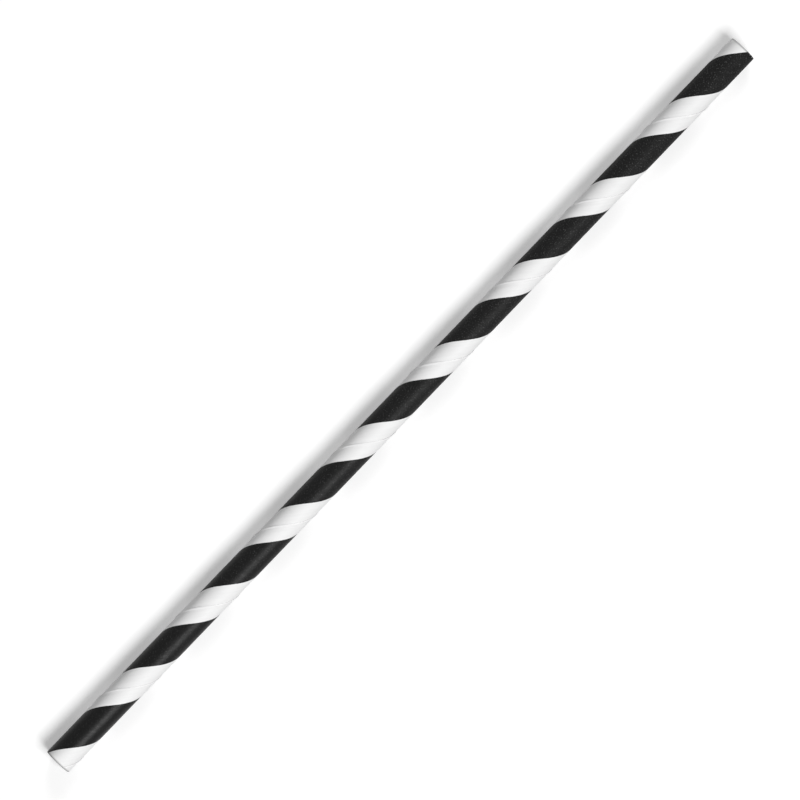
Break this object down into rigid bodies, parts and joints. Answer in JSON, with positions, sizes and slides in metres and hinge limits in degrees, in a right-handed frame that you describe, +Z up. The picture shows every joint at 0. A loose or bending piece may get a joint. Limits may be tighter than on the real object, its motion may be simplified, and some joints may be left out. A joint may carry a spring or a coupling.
{
  "type": "paper drinking straw",
  "caption": "Spiral-wound paper drinking straw: a thin open tube with a black helical stripe printed on white, lying on its side.",
  "frame": {"origin": "on the surface that the straw lies on, below its middle", "axes": "+X along the straw, +Y across it, +Z up"},
  "size_m": [0.2, 0.006, 0.0061],
  "materials": {
    "printed_paper": "matte white paper with a matte black ink stripe"
  },
  "bodies": {
    "root": {"straw": "printed_paper"}
  },
  "joints": []
}
